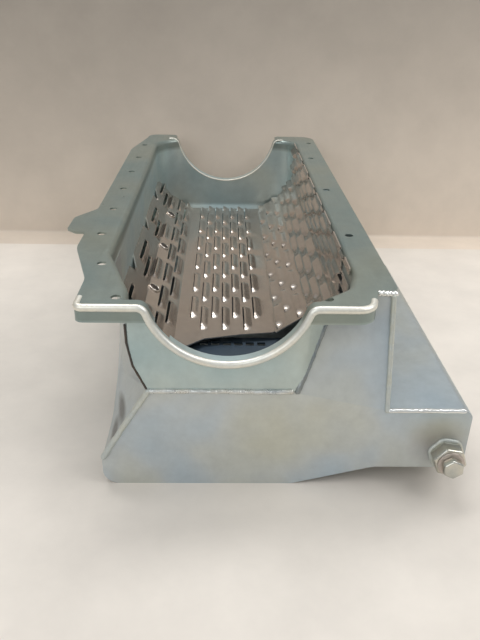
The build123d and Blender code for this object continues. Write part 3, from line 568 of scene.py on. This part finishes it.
def trim_near_edge(tray):
    """Cut the near edge to its slanted outline."""
    mesh = bmesh.from_edit_mesh(tray.data)
    for x, y in NEAR_EDGE[1:-1]:
        near = [f for f in mesh.faces if abs(f.calc_center_median().y - at(0, y, 0).y) < NEAR_ZONE * MM]
        cut(mesh, near, at(x, 0, 0), Vector((1, 0, 0)))
        mesh = bmesh.from_edit_mesh(tray.data)
    for (x0, y0), (x1, y1) in zip(NEAR_EDGE, NEAR_EDGE[1:]):
        low, high = at(x0, y0, 0), at(x1, y1, 0)
        chosen = [f for f in mesh.faces if low.x - 1e-5 < f.calc_center_median().x < high.x
                  and f.calc_center_median().y < max(low.y, high.y) + NEAR_MARGIN * MM]
        cut(mesh, chosen, low, (high - low).cross(Vector((0, 0, 1))), True)
        mesh = bmesh.from_edit_mesh(tray.data)


def round_far_corners(tray):
    mesh = bmesh.from_edit_mesh(tray.data)
    for side, x, radius in TRAY_CORNERS:
        centre = at(x - side * radius, CORNER_END - radius, 0)
        for step in range(1, CORNER_CUTS + 1):
            turn = math.radians(90 * (step - 0.5) / CORNER_CUTS)
            outward = Vector((side * math.cos(turn), math.sin(turn), 0))
            cut(mesh, mesh.faces, centre + outward * radius * MM, outward, True)
            mesh = bmesh.from_edit_mesh(tray.data)


def face_up(tray):
    """Turn the sheet's faces upwards, and leave edit mode."""
    bpy.ops.mesh.select_all(action="SELECT")
    bpy.ops.mesh.normals_make_consistent(inside=False)
    bpy.ops.object.mode_set(mode="OBJECT")
    if sum(f.normal.z * f.area for f in tray.data.polygons) < 0:
        bpy.ops.object.mode_set(mode="EDIT")
        bpy.ops.mesh.select_all(action="SELECT")
        bpy.ops.mesh.flip_normals()
        bpy.ops.object.mode_set(mode="OBJECT")


def windage_tray():
    lines = tray_lines()
    tray = flat_strips(lines)
    mesh = bmesh.from_edit_mesh(tray.data)
    grid = grid_of(mesh, lines)
    sheared = raise_louvres(mesh, lines, grid)
    shape_side_edges(mesh, grid, len(lines) - 1)
    select_only(mesh, sheared, "faces")
    bpy.ops.mesh.delete(type="FACE")
    trim_near_edge(tray)
    round_far_corners(tray)
    face_up(tray)
    tray.data.materials.append(materials["tray"])
    # The sheet's cut edges take the lighter copy: a painted highlight.
    tray.data.materials.append(materials["tray_highlight"])
    wall = tray.modifiers.new("thickness", "SOLIDIFY")
    wall.thickness = TRAY_THICK * MM
    wall.offset = -1
    wall.material_offset_rim = 1
    bpy.ops.object.modifier_apply(modifier=wall.name)
    bpy.ops.object.shade_smooth_by_angle(angle=math.radians(SHEET_CREASE))
    return tray


# ---------------------------------------------------------------------------------------------
# Rolled near edge and the bright rim of the far arc
# ---------------------------------------------------------------------------------------------
TUBE_SIDES, ARC_STEPS = 24, 48
FLARE = 8.0                   # rounding where an arc runs out into the rail
ROLL_R = 2.75
ROLL_IN = 1.9                 # from the outer corner of the lip to the middle of the roll
LIP_LEFT, LIP_CORNER_R = -102.6, 6.0
LIP_TURN_X = -96.6            # middle of the left corner's bend
EAR_END_Y = 16.0
NEAR_ARC = (57, 14)           # radius of the seal arc, and the height of its centre over the rail
NEAR_ARC_START = 61.16        # distance from the middle at which its flare begins
RIGHT_TURN = (87.25, 14, 75.07)     # middle of the right corner's bend, and its degrees
EAR_RUN = (1.3, 5, 0)         # last length of the roll, along the right hand ear
RIM_R = 0.9
RIM_IN = 0.3
RIM_START, RIM_TAIL = 78, 5    # from the middle to its left end, and its last length
FAR_WALL_Y = 531.0
FAR_ARC = (67, 10)
FAR_ARC_START = 72.81


def straight(x, y, z):
    """Carry the open end of a tube on by this much."""
    bpy.ops.mesh.extrude_region_move(TRANSFORM_OT_translate={"value": (x * MM, y * MM, z * MM)})


def turn_end(centre, axis, degrees, steps=8):
    """Carry the open end of a tube round a bend."""
    bpy.ops.mesh.spin(steps=steps, angle=math.radians(degrees), center=centre, axis=axis)


def start_tube(name, radius, place, lean):
    """Closed end of a tube, left in edit mode to be carried on."""
    deselect()
    bpy.ops.mesh.primitive_circle_add(vertices=TUBE_SIDES, radius=radius * MM, fill_type="NGON",
                                      location=place, rotation=lean)
    tube = bpy.context.object
    tube.name = name
    apply_transforms()
    bpy.ops.object.mode_set(mode="EDIT")
    bpy.ops.mesh.select_all(action="SELECT")
    return tube


def follow_arc(radius, rise, y):
    """Flare, seal arc and flare, from the left run-out to the right one."""
    reach = math.sqrt((radius + FLARE) ** 2 - (rise + FLARE) ** 2)
    bend = math.degrees(math.atan2(reach, rise + FLARE))
    turn_end(at(-reach, y, -FLARE), (0, 1, 0), -bend)
    turn_end(at(0, y, rise), (0, 1, 0), 2 * bend, ARC_STEPS)
    turn_end(at(reach, y, -FLARE), (0, 1, 0), -bend)
    return reach


def close_tube(tube):
    bpy.ops.mesh.select_all(action="SELECT")
    bpy.ops.mesh.remove_doubles(threshold=TOUCHING * MM)
    bpy.ops.mesh.normals_make_consistent(inside=False)
    bpy.ops.object.mode_set(mode="OBJECT")
    bpy.ops.object.shade_smooth_by_angle(angle=math.radians(SHEET_CREASE))
    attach(tube, "pan")
    # Both tubes wear the near-white finish: a painted highlight.
    wear(tube, "roll")


def rolled_edge():
    """Roll along the turned-down near edge: corner, ear, seal arc, ear, corner, painted near-white as a
    painted highlight.
    """
    start = at(LIP_LEFT + ROLL_IN, EAR_END_Y, -ROLL_IN)
    lip = start_tube("rolled_edge", ROLL_R, start, (math.pi / 2, 0, 0))
    straight(0, LIP_CORNER_R - EAR_END_Y, 0)
    turn_end(at(LIP_TURN_X, LIP_CORNER_R, -ROLL_IN), (0, 0, 1), -90)
    straight(-LIP_TURN_X - NEAR_ARC_START, 0, 0)
    reach = follow_arc(*NEAR_ARC, ROLL_IN)
    right_x, right_y, degrees = RIGHT_TURN
    straight(right_x - reach, 0, 0)
    turn_end(at(right_x, right_y, -ROLL_IN), (0, 0, 1), -degrees)
    straight(*EAR_RUN)
    close_tube(lip)


def far_rim_highlight():
    """Painted highlight: a thin near-white tube along the far seal arc's edge."""
    rim = start_tube("far_arc_highlight", RIM_R, at(-RIM_START, FAR_WALL_Y + RIM_IN, -RIM_IN), (0, math.pi / 2, 0))
    straight(RIM_START - FAR_ARC_START, 0, 0)
    follow_arc(*FAR_ARC, FAR_WALL_Y + RIM_IN)
    straight(RIM_TAIL, 0, 0)
    close_tube(rim)


# ---------------------------------------------------------------------------------------------
# Weld beads
# ---------------------------------------------------------------------------------------------
SEAT, BACK = 5.0, 290.0
NOSE = (-56.0, SEAT, -68.5)
KICK = (117.0, SEAT, -84.5)
WELDS = {                     # name: radius, points, ripple pitch in radii, waver in mm, finish
    "weld_nose_seam": (2.1, [NOSE, (46, SEAT, -68.5)], 0.75, 1.3, "weld"),
    "weld_left_shelf": (2.4, [NOSE, (-75, SEAT, -99), (-91.8, SEAT, -127.5)], 0.5, 1.0, "ridge"),
    # This bead's dark finish is painted shade of the recessed groove.
    "weld_right_groove": (2.4, [(50.5, 5.6, -68.5), (54, 8.3, -60), (61.5, 14.4, -40), (71.5, 22.6, -13)],
                          0.7, 1.0, "groove"),
    "weld_flap_corner": (1.9, [KICK, (117, 28, -3.6)], 0.5, 0.8, "ridge"),
    # The next two beads wear the lighter weld copy: painted highlight.
    "weld_kickout_top": (1.8, [(119, SEAT, -84.5), (174, SEAT, -84.5)], 0.6, 0.7, "weld_highlight"),
    "weld_rail_edge": (2.4, [(107, 29.5, -1.8), (118, 29.5, -1.8)], 1.2, 1.2, "weld_highlight"),
    "weld_back_floor": (2.4, [(-77.5, BACK, -102.6), (79.3, BACK, -102.6)], 0.9, 0.8, "weld"),
    "weld_back_seam": (1.8, [(-93.1, BACK, -89), (-93.1, BACK, -140.5)], 0.9, 0.5, "weld"),
    "weld_kickout_back": (1.8, [(117, BACK, -2.6), (117, BACK, -84.5), (174, BACK, -84.5)], 0.9, 0.5, "weld"),
    "weld_kickout_side": (1.3, [(181, 8, -112), (181, 287, -112)], 0.9, 0.3, "weld"),
    "weld_left_side": (1.5, [(-93.1, 140, -89), (-93.1, 287, -89)], 0.9, 0.5, "weld"),
}
# Path of the dark tube that stands for the shade in the left joint.
JOINT = [(-69.9, 4.9, -16), (-69.4, 4.9, -30), (-66, 4.9, -48), (-57.5, 4.9, -66.5)]
JOINT_R, JOINT_PITCH, JOINT_WAVER = 0.9, 0.5, 0.4
DROP = (0.95, 1.04, 0.92)     # a drop's half sizes along, across and up, in radii
REMESH = 0.42
LUMP = 5                      # spacing of the waver


def ripple_row(start, end, radius, pitch):
    """Overlapping drops of weld metal from one point to the next."""
    line = Vector(end) - Vector(start)
    deselect()
    bpy.ops.mesh.primitive_uv_sphere_add(segments=14, ring_count=8, radius=MM)
    row = bpy.context.object
    row.scale = [share * radius for share in DROP]
    apply_transforms()
    count = max(2, round(line.length / pitch) + 1)
    ripples = repeat(row, "ripples", count, (line.length / (count - 1) * MM, 0, 0))
    bpy.ops.object.modifier_apply(modifier=ripples.name)
    place_at(row, Matrix.Translation(at(*start)) @ line.to_track_quat("X", "Z").to_matrix().to_4x4())
    return row


def melt_together(rows, name, waver):
    """Join the rows, melt them into one skin and let the skin waver a little."""
    bead = join_as(name, rows)
    skin = bead.modifiers.new("skin", "REMESH")
    skin.mode = "VOXEL"
    skin.voxel_size = REMESH * MM
    bpy.ops.object.modifier_apply(modifier=skin.name)
    lumps = bpy.data.textures.new(name + "_lumps", "CLOUDS")
    lumps.noise_scale = LUMP * MM
    sway = bead.modifiers.new("waver", "DISPLACE")
    sway.texture = lumps
    sway.strength = waver * MM
    sway.mid_level = 0.5
    sway.texture_coords = "LOCAL"
    bpy.ops.object.modifier_apply(modifier=sway.name)
    for face in bead.data.polygons:
        face.use_smooth = True
    return bead


def welds():
    for name, (radius, points, pitch, waver, finish) in WELDS.items():
        rows = [ripple_row(a, b, radius, pitch * radius) for a, b in zip(points, points[1:])]
        bead = melt_together(rows, name + "_ripples", waver)
        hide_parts(name)
        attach(bead, "pan")
        wear(bead, finish)


def left_joint_shade():
    """Painted shade: a thin dark tube along the joint between the near end wall and the formed left hand
    panel, standing for the shade in that crevice.
    """
    rows = [ripple_row(a, b, JOINT_R, JOINT_PITCH) for a, b in zip(JOINT, JOINT[1:])]
    joint = melt_together(rows, "left_joint_shade", JOINT_WAVER)
    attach(joint, "pan")
    wear(joint, "sunk")


# ---------------------------------------------------------------------------------------------
# Drain hardware and tray screws
# ---------------------------------------------------------------------------------------------
DRAIN_X, DRAIN_Z = 166.2, -122.5
BUNG_R, BUNG_TURN, BUNG_PROUD, BUNG_ROUND = 13.0, 50.0, 12.5, 1.5
WASHER_R, WASHER_THICK, WASHER_ROUND = 10.0, 1.5, 0.45
HEX_R, HEX_TURN, HEX_HEIGHT, HEX_ROUND = 8.2, 34.0, 7.0, 1.3
SHANK_R, SHANK_LENGTH = 6.35, 14
SPIGOT_R, SPIGOT_BEHIND = 11.0, 7.0
SPIGOT_GAP, SHANK_GAP = 0.1, 0.05     # hair gaps between the end faces of joined bars
BAR_SIDES, WASHER_SIDES = 40, 48
RING_DROPS, RING_DROP_R = 56, 1.6
RING_IN = 0.93                # mean radius of the ring, in radii of the bung
RING_WAVE = 0.5               # the ring follows the bung's six flats this far in and out
RING_SUNK, RING_WAVER = 0.4, 0.7
RING_LOWEST = -134.6          # the weld stops above the folded edge of the bottom


def ring_of_weld():
    """Weld metal heaped round the foot of the bung."""
    drops = []
    for i in range(RING_DROPS):
        turn = 2 * math.pi * i / RING_DROPS
        reach = BUNG_R * RING_IN + RING_WAVE * math.cos(6 * (turn - math.radians(BUNG_TURN)))
        x, z = reach * math.cos(turn), reach * math.sin(turn)
        if DRAIN_Z + z < RING_LOWEST:
            continue
        deselect()
        bpy.ops.mesh.primitive_uv_sphere_add(segments=12, ring_count=8, radius=RING_DROP_R * MM,
                                             location=at(DRAIN_X + x, SEAT - RING_SUNK, DRAIN_Z + z))
        apply_transforms()
        drops.append(bpy.context.object)
    collar = melt_together(drops, "weld_bung_ripples", RING_WAVER)
    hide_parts("weld_bung")
    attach(collar, "pan")
    wear(collar, "ridge")


def turned(radius, low, high, sides, turn=0.0, bevel=0.0, segments=3):
    """Bar on the drain axis between two distances ahead of the plate, with softened edges."""
    deselect()
    bpy.ops.mesh.primitive_cylinder_add(vertices=sides, radius=radius * MM, depth=(high - low) * MM)
    bar = bpy.context.object
    spin = Matrix.Rotation(math.radians(turn - 90), 4, "Z")
    lean = Matrix.Rotation(math.pi / 2, 4, "X")
    middle = Matrix.Translation(at(DRAIN_X, SEAT - (low + high) / 2, DRAIN_Z))
    place_at(bar, middle @ lean @ spin)
    if bevel:
        soften(bar, bevel, segments)
    return bar


def drain_hardware():
    bung = join_as("bung_body", [turned(BUNG_R, 0.0, BUNG_PROUD, 6, BUNG_TURN, BUNG_ROUND, 4),
                                 turned(SPIGOT_R, -SPIGOT_BEHIND, -SPIGOT_GAP, BAR_SIDES)])
    washer = turned(WASHER_R, BUNG_PROUD, BUNG_PROUD + WASHER_THICK, WASHER_SIDES, bevel=WASHER_ROUND)
    washer.name = "sealing_ring"
    seat = BUNG_PROUD + WASHER_THICK
    head = turned(HEX_R, seat, seat + HEX_HEIGHT, 6, HEX_TURN, HEX_ROUND, 4)
    shank = turned(SHANK_R, seat - SHANK_LENGTH, seat - SHANK_GAP, BAR_SIDES)
    plug = join_as("plug_body", [head, shank])
    for obj, node, body, slot, finish in (
            (bung, "drain_bung", "pan", "fastener_steel", "fastener"),
            (washer, "drain_washer", "washer", "washer_metal", "washer"),
            (plug, "drain_plug", "plug", "fastener_steel", "fastener")):
        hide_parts(node)
        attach(obj, body)
        wear(obj, finish)


SCREW_YS = [441.0, 324.0, 207.0]
SCREW_X, SCREW_Z = -71.12, -79.45
HEAD_R, HEAD_HIGH, HEAD_ROUND = 4.6, 1.8, 0.8
SCREW_R, SCREW_LONG = 2.5, 12
CUP_R, CUP_LIP_R, CUP_RAISED = 5.5, 0.9, 0.6


def screws():
    """Low button heads, each sunk in a cup with a flared lip; the heads are painted dark as the shade in the
    cups, and the lips bright as a painted highlight.
    """
    heads, cups = [], []
    slope = Matrix.Rotation(math.radians(FACET), 4, "Y")
    for y in SCREW_YS:
        here = Matrix.Translation(at(SCREW_X, y, SCREW_Z)) @ slope
        deselect()
        bpy.ops.mesh.primitive_cylinder_add(vertices=32, radius=HEAD_R * MM, depth=HEAD_HIGH * MM)
        head = bpy.context.object
        place_at(head, here @ Matrix.Translation((0, 0, HEAD_HIGH / 2 * MM)))
        soften(head, HEAD_ROUND)
        deselect()
        bpy.ops.mesh.primitive_cylinder_add(vertices=24, radius=SCREW_R * MM, depth=SCREW_LONG * MM)
        shank = bpy.context.object
        place_at(shank, here @ Matrix.Translation((0, 0, -SCREW_LONG / 2 * MM)))
        heads += [head, shank]
        deselect()
        bpy.ops.mesh.primitive_torus_add(major_segments=48, minor_segments=12, major_radius=CUP_R * MM,
                                         minor_radius=CUP_LIP_R * MM)
        cup = bpy.context.object
        place_at(cup, here @ Matrix.Translation((0, 0, CUP_RAISED * MM)))
        for face in cup.data.polygons:
            face.use_smooth = True
        cups.append(cup)
    head = join_as("button_screws", heads)
    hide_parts("tray_screws")
    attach(head, "pan")
    wear(head, "sunk")
    # The cups' flared lips are painted bright: a painted highlight.
    cup = join_as("flared_cups", cups)
    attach(cup, "pan")
    wear(cup, "tray_highlight")


# ---------------------------------------------------------------------------------------------
# Floor, light and camera
# ---------------------------------------------------------------------------------------------
FLOOR_SIZE = 60               # this section's lengths are in metres
FOLD_Y = 0.30                 # the paper folds up behind the pan
SHEET_WIDE, SHEET_FOOT, SHEET_LIFT = 8, 0.05, 0.0004
FOLD_REACH, FOLD_ROUND = 0.01, 0.004
SHEET_RISE = (0, 0.05, 0.45)
# The hung sheet's painted shade is deepest at this height.
DARKENS_TO = 0.34             # height at which the hung sheet is darkest
FRAME_HEIGHT = 640            # pixels, as is the focal length
FOCAL = 660
SENSOR = 36                   # millimetres
PITCH_YAW_ROLL = (26.927, -1.879, -1.402)
EYE = (-5.04, -391.4, 190)    # in the rail's frame, millimetres


def paper(name, colour, shaded_top=None):
    """Pale mottled paper; the hung sheet has painted shade, darker upwards and towards its left, and can't be
    seen from behind.
    """
    material = bpy.data.materials.new(name)
    material.use_nodes = True
    nodes = Nodes(material.node_tree)
    shader = material.node_tree.nodes["Principled BSDF"]
    place = nodes.add("ShaderNodeTexCoord").outputs["Object"]
    broad = nodes.ramp(nodes.noise(place, 3.0, 2.0), [(0.3, 0.93), (0.7, 1.02)])
    blots = nodes.ramp(nodes.noise(place, 14.0, 5.0, 0.62), [(0.34, 0.93), (0.66, 1.02)])
    mottle = nodes.mix(1.0, broad, blots, "MULTIPLY")
    shader.inputs["Roughness"].default_value = 0.8
    if shaded_top:
        parts = nodes.add("ShaderNodeSeparateXYZ", Vector=place).outputs
        height = nodes.math("DIVIDE", parts["Z"], DARKENS_TO, clamp=True)
        across = nodes.math("ADD", nodes.math("MULTIPLY", parts["X"], 1.1), 0.5)
        # Painted light across the hung sheet: darker on the left, lighter on the right.
        side = nodes.ramp(across, [(0.0, 0.88), (1.0, 1.06)])
        colour = nodes.mix(1.0, nodes.mix(height, colour, shaded_top), side, "MULTIPLY")
        clear = nodes.add("ShaderNodeBsdfTransparent")
        turned_away = nodes.add("ShaderNodeNewGeometry").outputs["Backfacing"]
        both = nodes.add("ShaderNodeMixShader")
        nodes.put(both, "0", turned_away)
        nodes.put(both, "1", shader.outputs[0])
        nodes.put(both, "2", clear.outputs[0])
        nodes.put(material.node_tree.nodes["Material Output"], "Surface", both.outputs[0])
    nodes.put(shader, "Base Color", nodes.mix(1.0, colour, mottle, "MULTIPLY"))
    return material


def floor():
    deselect()
    bpy.ops.mesh.primitive_plane_add(size=FLOOR_SIZE, location=(0, 0, 0))
    ground = bpy.context.object
    ground.name = "floor"
    ground.data.materials.append(paper("floor_paper", rgb(228, 220, 210)))


def backdrop():
    """Paper hung close behind the pan, with a soft fold where it meets the floor."""
    deselect()
    bpy.ops.mesh.primitive_plane_add(size=1, location=(0, 0, 0))
    sheet = bpy.context.object
    sheet.name = "backdrop"
    sheet.scale = (SHEET_WIDE, SHEET_FOOT, 1)
    sheet.location = (0, FOLD_Y - SHEET_FOOT / 2, SHEET_LIFT)
    apply_transforms()
    bpy.ops.object.mode_set(mode="EDIT")
    bpy.ops.mesh.select_all(action="DESELECT")
    mesh = bmesh.from_edit_mesh(sheet.data)
    far_side = [e for e in mesh.edges if all(v.co.y > FOLD_Y - FOLD_REACH for v in e.verts)]
    select_only(mesh, far_side, "edges")
    bpy.ops.mesh.extrude_region_move(TRANSFORM_OT_translate={"value": SHEET_RISE})
    bpy.ops.mesh.select_all(action="DESELECT")
    mesh = bmesh.from_edit_mesh(sheet.data)
    crease = [e for e in mesh.edges
              if all(v.co.y > FOLD_Y - FOLD_REACH and v.co.z < FOLD_REACH for v in e.verts)]
    select_only(mesh, crease, "edges")
    bpy.ops.mesh.bevel(offset=FOLD_ROUND, segments=6, affect="EDGES")
    bpy.ops.object.mode_set(mode="OBJECT")
    bpy.ops.object.shade_smooth()
    # Its second colour is the painted shade at the top of the hung sheet.
    sheet.data.materials.append(paper("backdrop_paper", rgb(226, 212, 196), rgb(168, 159, 148)))


def lamp(name, place, size, power, colour=(1, 1, 1), target=(0, 0, 0.05)):
    """Rectangular soft light turned to a target."""
    data = bpy.data.lights.new(name, "AREA")
    data.shape = "RECTANGLE"
    data.size, data.size_y = size
    data.energy = power
    data.color = colour
    obj = bpy.data.objects.new(name, data)
    scene.collection.objects.link(obj)
    obj.location = place
    obj.rotation_euler = (Vector(target) - Vector(place)).to_track_quat("-Z", "Y").to_euler()


def world_light():
    world = bpy.data.worlds.new("studio")
    scene.world = world
    world.use_nodes = True
    back = world.node_tree.nodes["Background"]
    back.inputs["Color"].default_value = rgb(236, 238, 240)
    back.inputs["Strength"].default_value = 0.54


def camera():
    """Camera from its pitch, yaw and roll, with a focal length given in pixels."""
    pitch, yaw, roll = (math.radians(a) for a in PITCH_YAW_ROLL)
    turn = Matrix.Rotation(yaw, 3, "Z")
    ahead = turn @ Vector((0, math.cos(pitch), -math.sin(pitch)))
    right = turn @ Vector((1, 0, 0))
    down = turn @ Vector((0, -math.sin(pitch), -math.cos(pitch)))
    across = math.cos(roll) * right + math.sin(roll) * down
    below = -math.sin(roll) * right + math.cos(roll) * down
    data = bpy.data.cameras.new("camera")
    data.sensor_fit = "AUTO"
    data.sensor_width = SENSOR
    data.lens = SENSOR * FOCAL / FRAME_HEIGHT
    data.clip_start, data.clip_end = 0.01, 300
    obj = bpy.data.objects.new("camera", data)
    scene.collection.objects.link(obj)
    pose = Matrix((across, -below, -ahead)).transposed().to_4x4()
    pose.translation = at(*EYE)
    obj.matrix_world = pose
    scene.camera = obj


tray = windage_tray()
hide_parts("windage_tray")
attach(tray, "pan")
rolled_edge()
far_rim_highlight()
welds()
left_joint_shade()
ring_of_weld()
drain_hardware()
screws()
floor()
backdrop()
world_light()
lamp("overhead", (-0.15, 0.5, 1.6), (1.5, 0.5), 14.5, target=(0, 0.05, 0))
lamp("right", (1.2, -0.4, 1.4), (1.1, 1.1), 11)
lamp("window", (-0.9, -1.4, 1.1), (1.2, 1.2), 8, colour=(0.95, 0.98, 1.0))
camera()
scene.view_settings.view_transform = "Standard"
